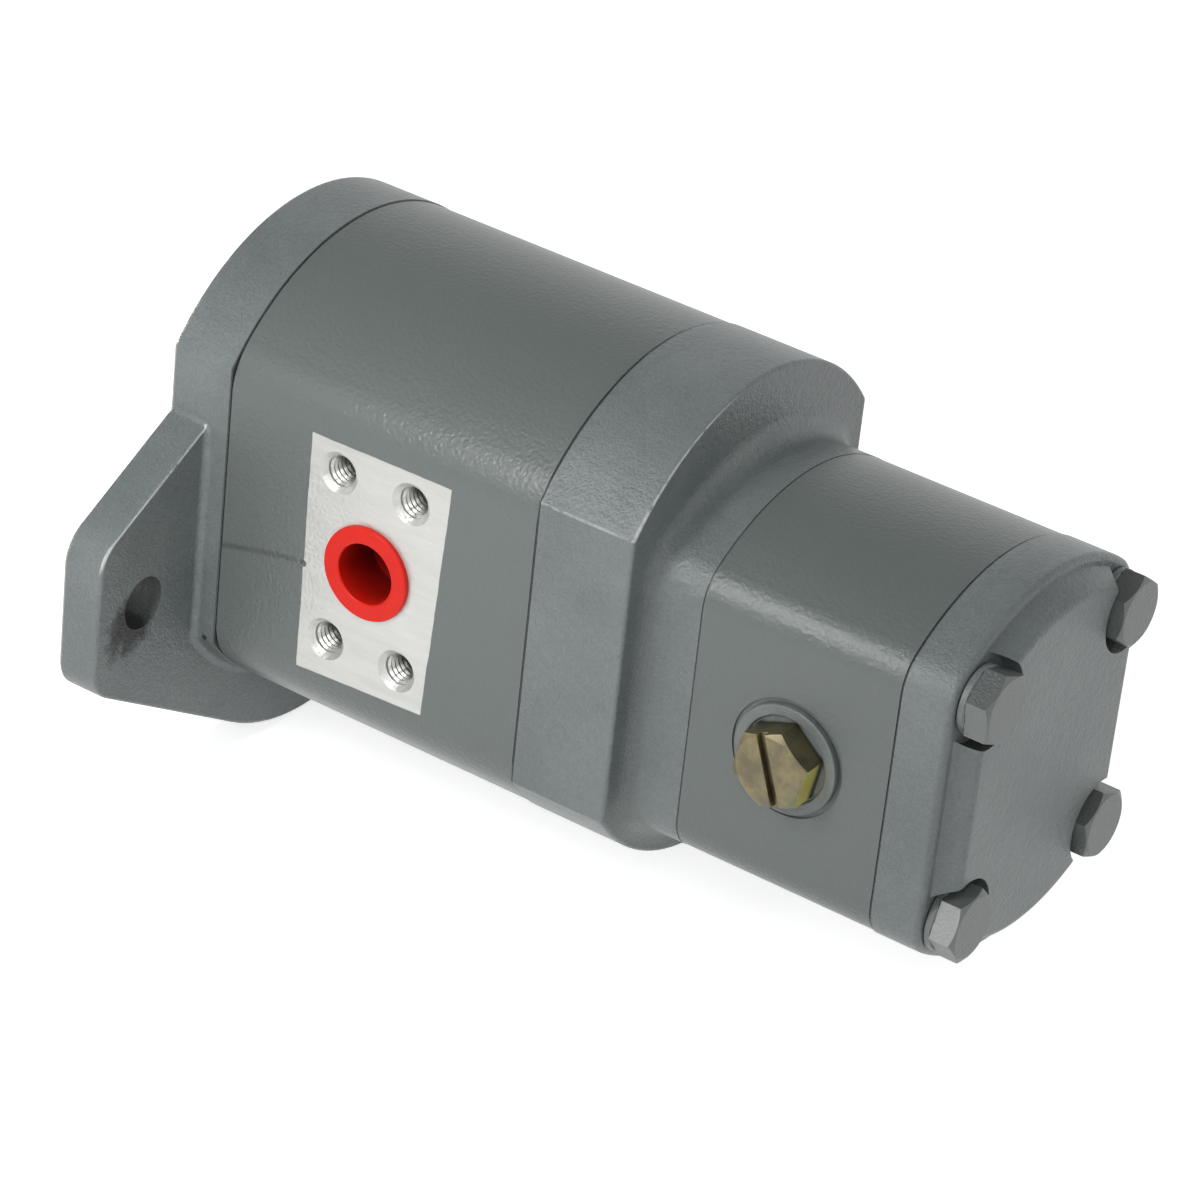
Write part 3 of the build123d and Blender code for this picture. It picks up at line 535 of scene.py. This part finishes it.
# %% Machined front of the cover
turning = paint.node(
    "ShaderNodeTexWave", {"wave_type": "RINGS", "rings_direction": "X", "wave_profile": "SIN"},
    Vector=paint.place, Scale=420.0, Distortion=0.6, Detail=1.0)
rings = Value(paint, turning.outputs["Fac"])
iron = paint.mix(paint.noise(scale=60, detail=3), tint(150, 148, 143), tint(176, 174, 169))
colour = paint.mix(machined, colour, iron)
rough = rough + stain_and_shade * 0.2 - machined * 0.12
normal = paint.bump(rings * machined, distance=0.00004, strength=0.6, under=normal)
front_enamel = paint.finish(
    Base_Color=colour, Roughness=rough, Metallic=machined * 0.85, Normal=normal)
dress("front_cover", front_enamel)

# %% [markdown]
# ## Smooth bodies
# The two bodies are extrusions: the paint lies nearly flat, with a very fine peel, and its colour
# is drawn out a little along the body. They are a shade darker than the castings, whose rough skin
# scatters more light. The same joint lines are drawn from both sides, so that they meet.

# %% Body enamel
body_green = tint(91, 98, 96)
body_light = tint(97, 104, 102)


def body_skin(paint, joints):
    """Enamel on an extrusion, with dirt in the joints at its two ends."""
    drift = paint.noise(scale=14, detail=2, roughness=0.5)
    peel = paint.noise(scale=900, detail=2, roughness=0.5)
    streak = paint.noise(scale=60, detail=2, roughness=0.5, stretch=(0.15, 1, 1))
    colour = paint.mix(drift * 0.6 + streak * 0.4, body_green, body_light)
    colour = dirty_joints(paint, colour, joints)
    rough = 0.26 + 0.08 * drift + 0.06 * peel
    normal = paint.bump(peel, distance=0.00022)
    return colour, rough, normal


paint = Paint("smooth enamel, rear")
colour, rough, normal = body_skin(paint, [neck_joint, rear_joint])
dress("rear_body", paint.finish(Base_Color=colour, Roughness=rough, Normal=normal))

# %% [markdown]
# ## Bare port pads
# The port pads were masked before painting, so a rectangle of milled aluminium shows on each side,
# and the gear chamber inside is bare as well. The outlet's tape was cut by eye, which leaves an
# outline that isn't square, and noise shifts its edge by a fraction of a millimetre. The holes
# darken with depth, because little light gets out of them again.

# %% Pads of the front body
outlet_pad = [(0.0438, 0.0530), (0.0442, -0.0139), (0.0832, -0.0119), (0.0865, 0.0536)]
inlet_pad = [(0.0392, 0.0575), (0.0392, -0.0155), (0.0882, -0.0155), (0.0882, 0.0575)]
tape_wobble = 0.0006
chamber_radius = 0.0262
gear_heights = (0.0, 0.042)
half_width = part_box("front_body")[1].y

paint = Paint("smooth enamel with pads")
colour, rough, normal = body_skin(paint, [front_joint, middle_joint])
x, y, z = paint.split(paint.place)
outlet_side = paint.step(0.0 - y, -0.001, 0.001)
wobble = (paint.noise(scale=150, detail=2) - 0.5) * tape_wobble
in_outlet_pad = paint.inside(x, z, outlet_pad) * outlet_side
in_inlet_pad = paint.inside(x, z, inlet_pad) * (1 - outlet_side)
bare = paint.step(in_outlet_pad + in_inlet_pad + wobble, -0.00010, 0.00010)
for height in gear_heights:
    from_gear = paint.away(y, z - height)
    bare = paint.most(bare, paint.fade(from_gear, chamber_radius, chamber_radius + 0.0002))
milling = paint.noise(scale=420, detail=3, roughness=0.6, stretch=(0.12, 1, 1))
alloy = paint.mix(milling, tint(180, 181, 177), tint(208, 208, 204))
inner = paint.fade(paint.size(y), half_width - 0.0060, half_width - 0.0016)
alloy = paint.mix(inner * 0.85, alloy, tint(58, 58, 54))
colour = paint.mix(bare, colour, alloy)
rough = rough * (1 - bare) + bare * (0.34 + 0.14 * milling)
print(f"pads at {half_width * 1000:.1f} mm from the shaft, with {len(outlet_pad)} corners each")

# %% [markdown]
# ## A smear and a chip
# Handling left two marks by the outlet: a thin dark smear that wanders from the cover to the pad,
# and a chip in the paint at its end. Each is a distance, from a sloping line and from a point; the
# chip is also a small dent, so it gets a bump of its own.

# %% Marks on the front body
smear_x, smear_z, smear_slope = 0.0193, 0.0110, 0.22
chip_x, chip_z = 0.0439, 0.0157
chip_core, chip_edge = 0.0006, 0.0011
chip_depth = 0.0004

wander = (paint.noise(scale=110, detail=3) - 0.5) * 0.0014
off_line = z - smear_z - (x - smear_x) * smear_slope + wander
smear = paint.fade(paint.size(off_line), 0.0002, 0.0013) * paint.fade(x, 0.0400, 0.0435)
smear = smear * outlet_side * (1 - bare) * (0.35 + 0.35 * paint.noise(scale=60, detail=2))
chip = paint.fade(paint.away(x - chip_x, z - chip_z), chip_core, chip_edge) * outlet_side
colour = paint.mix(paint.most(smear, chip * 0.8), colour, tint(58, 60, 58))
normal = paint.bump(milling * bare, distance=0.00002, strength=0.5, under=normal)
normal = paint.bump(chip, distance=-chip_depth, strength=1.0, under=normal)
padded_enamel = paint.finish(
    Base_Color=colour, Roughness=rough, Metallic=bare * 0.55, Normal=normal)
dress("front_body", padded_enamel)

# %% [markdown]
# ## Threads in the port screw holes
# Eight tapped holes show their threads as bright and dark stripes. In the construction they are
# plain at the drill size, so we lay a ridge of one pitch along each wall: a triangle swept by a
# spin that also climbs, which is what a tap does. Displacement would need far more faces.

# %% Threads
pitch = 0.0015
wall_radius = 0.00426
crest_radius = 0.00372
ridge_half_base = 0.0006
first_turn_depth = 0.0022
steps_per_turn = 40
thread_turns = 9


def threads(name, mount):
    """Helical ridges in the four screw holes about one port."""
    side = 1 if mount["axis"][1] > 0 else -1
    first = side * (half_width - first_turn_depth)
    climb = -side * pitch / steps_per_turn
    spacing_x = mount["dims"]["spacing_x_mm"] / 1000
    spacing_z = mount["dims"]["spacing_y_mm"] / 1000
    section = (
        (wall_radius, -ridge_half_base), (crest_radius, 0.0), (wall_radius, ridge_half_base))
    shape = bmesh.new()
    for side_x in (-0.5, 0.5):
        for side_z in (-0.5, 0.5):
            middle_x = port_x + side_x * spacing_x
            middle_z = port_z + side_z * spacing_z
            corners = [
                shape.verts.new((middle_x + radius, first + rise, middle_z))
                for radius, rise in section]
            wires = [shape.edges.new((corners[i], corners[i - 1])) for i in range(3)]
            shape.faces.new(corners)
            swept = bmesh.ops.spin(
                shape, geom=wires, cent=(middle_x, first, middle_z), axis=(0, 1, 0),
                dvec=(0, climb, 0), angle=2 * pi * thread_turns,
                steps=steps_per_turn * thread_turns)
            last = [part for part in swept["geom_last"] if isinstance(part, bmesh.types.BMVert)]
            shape.faces.new(last)
    bmesh.ops.recalc_face_normals(shape, faces=shape.faces)
    mesh = bpy.data.meshes.new(name)
    shape.to_mesh(mesh)
    shape.free()
    piece = bpy.data.objects.new(name, mesh)
    bpy.context.scene.collection.objects.link(piece)
    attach(piece, "housing")
    print(f"{name}: {len(mesh.polygons)} faces")
    return piece


port_x, _, port_z = mounts["outlet_screws"]["pos_m"]
ridges = [threads(side + "_threads", mounts[side + "_screws"]) for side in ("outlet", "inlet")]

# %% [markdown]
# ## Cut metal of the threads
# A fresh thread is bright at the mouth of its hole and goes dark as it goes in. The faces of a
# thread are too small for shadows to do that alone, so the colour darkens with depth and between
# the ridges.

# %% Finish of the threads
paint = Paint("cut thread")
cut = paint.noise(scale=900, detail=2)
colour = paint.mix(cut, tint(186, 186, 182), tint(222, 222, 218))
from_middle = paint.size(paint.split(paint.place)[1])
inner = paint.fade(from_middle, half_width - 0.0090, half_width - 0.0025)
dark = paint.most(inner, paint.recess(0.0012))
colour = paint.mix(dark * 0.8, colour, tint(52, 52, 49))
normal = paint.bump(cut, distance=0.00002, strength=0.4)
cut_thread = paint.finish(
    Base_Color=colour, Metallic=0.8, Roughness=0.22 + 0.15 * cut, Normal=normal)
for ridge in ridges:
    ridge.data.materials.append(cut_thread)
    print(f"{ridge.name}: {cut_thread.name}")

# %% [markdown]
# ## Painted bolts
# The rear bolts were painted with the pump, so they share its green. The flats that face up and the
# closed-in joint under each head are painted dark, as painted shade. On one bolt a spanner has
# wiped one flat bare, and bright steel shows there: a mask by place picks that bolt, and a mask by
# facing picks its flat.

# %% Rear bolts
joint_reach = 0.0012
bolt_shade_colour = tint(30, 33, 33)
bare_steel = tint(214, 216, 214)

paint = Paint("painted bolt")
_, y, z = paint.split(paint.place)
facing = paint.split(paint.facing)
drift = paint.noise(scale=120, detail=3)
colour = paint.mix(drift, tint(98, 103, 102), tint(116, 121, 120))
# Painted shade: the joint under each head and the flats that face up are darkened.
joint = paint.step(paint.recess(joint_reach), 0.20, 0.60)
on_flats = paint.fade(facing[0], 0.3, 0.6) * paint.step(facing[2], -0.2, 0.5)
bolt_shade = paint.most(joint * 0.85, on_flats * (0.30 + 0.30 * drift))
colour = paint.mix(bolt_shade, colour, bolt_shade_colour)
low_bolt = paint.fade(z, -0.006, -0.003) * paint.fade(y, -0.03, -0.028)
outlet_flat = paint.step(0.0 - facing[1], 0.9, 0.97)
wiped = outlet_flat * low_bolt * paint.step(paint.noise(scale=300, detail=3) + 0.35, 0.45, 0.65)
colour = paint.mix(wiped, colour, bare_steel)
normal = paint.bump(paint.noise(scale=1500, detail=2), distance=0.00025)
painted_bolt = paint.finish(
    Base_Color=colour, Roughness=0.32 + 0.14 * drift, Metallic=wiped * 0.8, Normal=normal)
dress("rear_bolts", painted_bolt)

# %% [markdown]
# ## Painted washers
# The washers under the bolts, and the sealing ring under the plug, wear the same paint, with a dark
# line of painted shade wherever they touch the metal beside them.

# %% Washers and sealing ring
paint = Paint("painted washer")
colour = paint.mix(paint.noise(scale=260, detail=3), tint(94, 100, 99), tint(116, 122, 121))
# Painted shade: a dark line where each washer touches the metal beside it.
joint = paint.step(paint.recess(joint_reach), 0.20, 0.55)
colour = paint.mix(joint * 0.9, colour, tint(20, 22, 22))
rough = 0.34 + 0.1 * paint.noise(scale=300)
normal = paint.bump(paint.noise(scale=1400, detail=2), distance=0.00020)
painted_washer = paint.finish(Base_Color=colour, Roughness=rough, Normal=normal)
dress("rear_washers", painted_washer)
dress("plug_seal", painted_washer)

# %% [markdown]
# ## Port plug
# The plug is steel with yellow-passivated zinc: olive and gold in turns, and painted dark brown
# where the slot and the corners close in, as painted shade. The flat that faces the rear is painted
# bright yellow, as a painted highlight. Metal needs something to reflect, which the pale room
# gives.

# %% Port plug
slot_reach = 0.0030

paint = Paint("yellow zinc")
cloud = paint.noise(scale=160, detail=4, roughness=0.6)
closed_in = paint.recess(slot_reach)
colour = paint.mix(paint.step(cloud, 0.35, 0.65), tint(103, 97, 80), tint(130, 121, 92))
greenish = paint.step(paint.noise(scale=90, detail=2), 0.55, 0.75)
colour = paint.mix(greenish * 0.6, colour, tint(104, 112, 80))
# Painted shade: the slot and the corners are darkened.
colour = paint.mix(paint.step(closed_in, 0.35, 0.80) * 0.8, colour, tint(46, 36, 24))
rear_flat = paint.step(paint.split(paint.facing)[0], 0.85, 0.95)
# Painted highlight: the flat that faces the rear is painted bright yellow.
colour = paint.mix(rear_flat * paint.fade(closed_in, 0.15, 0.40), colour, tint(236, 224, 130))
normal = paint.bump(paint.noise(scale=900, detail=3), distance=0.00008, strength=0.6)
yellow_zinc = paint.finish(
    Base_Color=colour, Metallic=0.85, Roughness=0.34 + 0.2 * cloud, Normal=normal)
dress("port_plug", yellow_zinc)

# %% [markdown]
# ## Transit caps
# The caps are moulded polyethylene, a saturated red with a soft sheen. The material is slightly
# waxy, so a little light scatters under the skin. Down in the cup the red is painted deeper and
# darker: painted shade, and the red of light that bounces from red to red there.

# %% Transit caps
cup_reach = 0.025

paint = Paint("red polyethylene")
cloud = paint.noise(scale=60, detail=2)
colour = paint.mix(cloud, tint(204, 24, 12), tint(216, 34, 20))
# Painted shade: the red darkens deep in the cup.
colour = paint.mix(paint.step(paint.recess(cup_reach), 0.35, 0.95), colour, tint(96, 4, 2))
normal = paint.bump(paint.noise(scale=700, detail=2), distance=0.00005, strength=0.5)
red = paint.finish(
    Base_Color=colour, Roughness=0.34 + 0.08 * cloud, Normal=normal, Specular_IOR_Level=0.25,
    Subsurface_Weight=0.12, Subsurface_Radius=(0.004, 0.001, 0.0008), Subsurface_Scale=0.5)
dress("outlet_cap", red)
dress("inlet_cap", red)

# %% [markdown]
# ## Inner pieces
# Gears, shafts and bushes are never seen on the closed pump, but a reader who takes it apart
# should find real finishes: ground steel, sintered bronze, machined alloy, black rubber. The metals
# differ only in colour, grain and gloss, so one helper makes them all.


# %% Inner finishes
def metal(name, dark, light, roughness, grain, stretch=(1, 1, 1), metallic=1.0):
    """A plain metal; stretch draws its grain out into grinding or milling lines."""
    paint = Paint(name)
    lines = paint.noise(scale=grain, detail=3, roughness=0.6, stretch=stretch)
    colour = paint.mix(lines, dark, light)
    rough = roughness + 0.12 * lines
    normal = paint.bump(lines, distance=0.00002, strength=0.5)
    return paint.finish(Base_Color=colour, Metallic=metallic, Roughness=rough, Normal=normal)


ground = metal("ground steel", tint(150, 151, 153), tint(186, 187, 188), 0.24, 900, (0.2, 1, 1))
bronze = metal("sintered bronze", tint(150, 112, 68), tint(190, 150, 96), 0.38, 1400)
alloy = metal("machined alloy", tint(176, 177, 176), tint(206, 207, 205), 0.30, 700, (1, 0.2, 1))
oxide = metal("black oxide", tint(38, 39, 41), tint(62, 63, 66), 0.36, 800, metallic=0.7)
spring = metal("phosphated spring steel", tint(70, 71, 72), tint(98, 99, 100), 0.40, 900)

paint = Paint("black rubber")
bloom = paint.noise(scale=200, detail=3)
colour = paint.mix(bloom, tint(24, 24, 25), tint(44, 44, 45))
normal = paint.bump(paint.noise(scale=1200, detail=2), distance=0.00005, strength=0.5)
rubber = paint.finish(Base_Color=colour, Roughness=0.55 + 0.2 * bloom, Normal=normal)

finishes = {
    ground: (
        "drive_gear_shaft", "shaft_coupling", "rear_drive_gear", "front_driven_gear",
        "rear_driven_gear", "front_dowels", "rear_dowels"),
    bronze: ("front_bushes", "rear_bushes"),
    alloy: (
        "front_stage_block_front", "front_stage_block_rear",
        "rear_stage_block_front", "rear_stage_block_rear"),
    oxide: ("front_tie_screws",),
    spring: ("retaining_ring",),
    rubber: (
        "front_body_seals", "rear_body_seals", "front_block_seals", "rear_block_seals",
        "shaft_seal"),
}
for material, names in finishes.items():
    for name in names:
        dress(name, material)

# %% [markdown]
# ## End
# The dressing of the pump ends here.

# %% Finish
print("the pump is dressed")
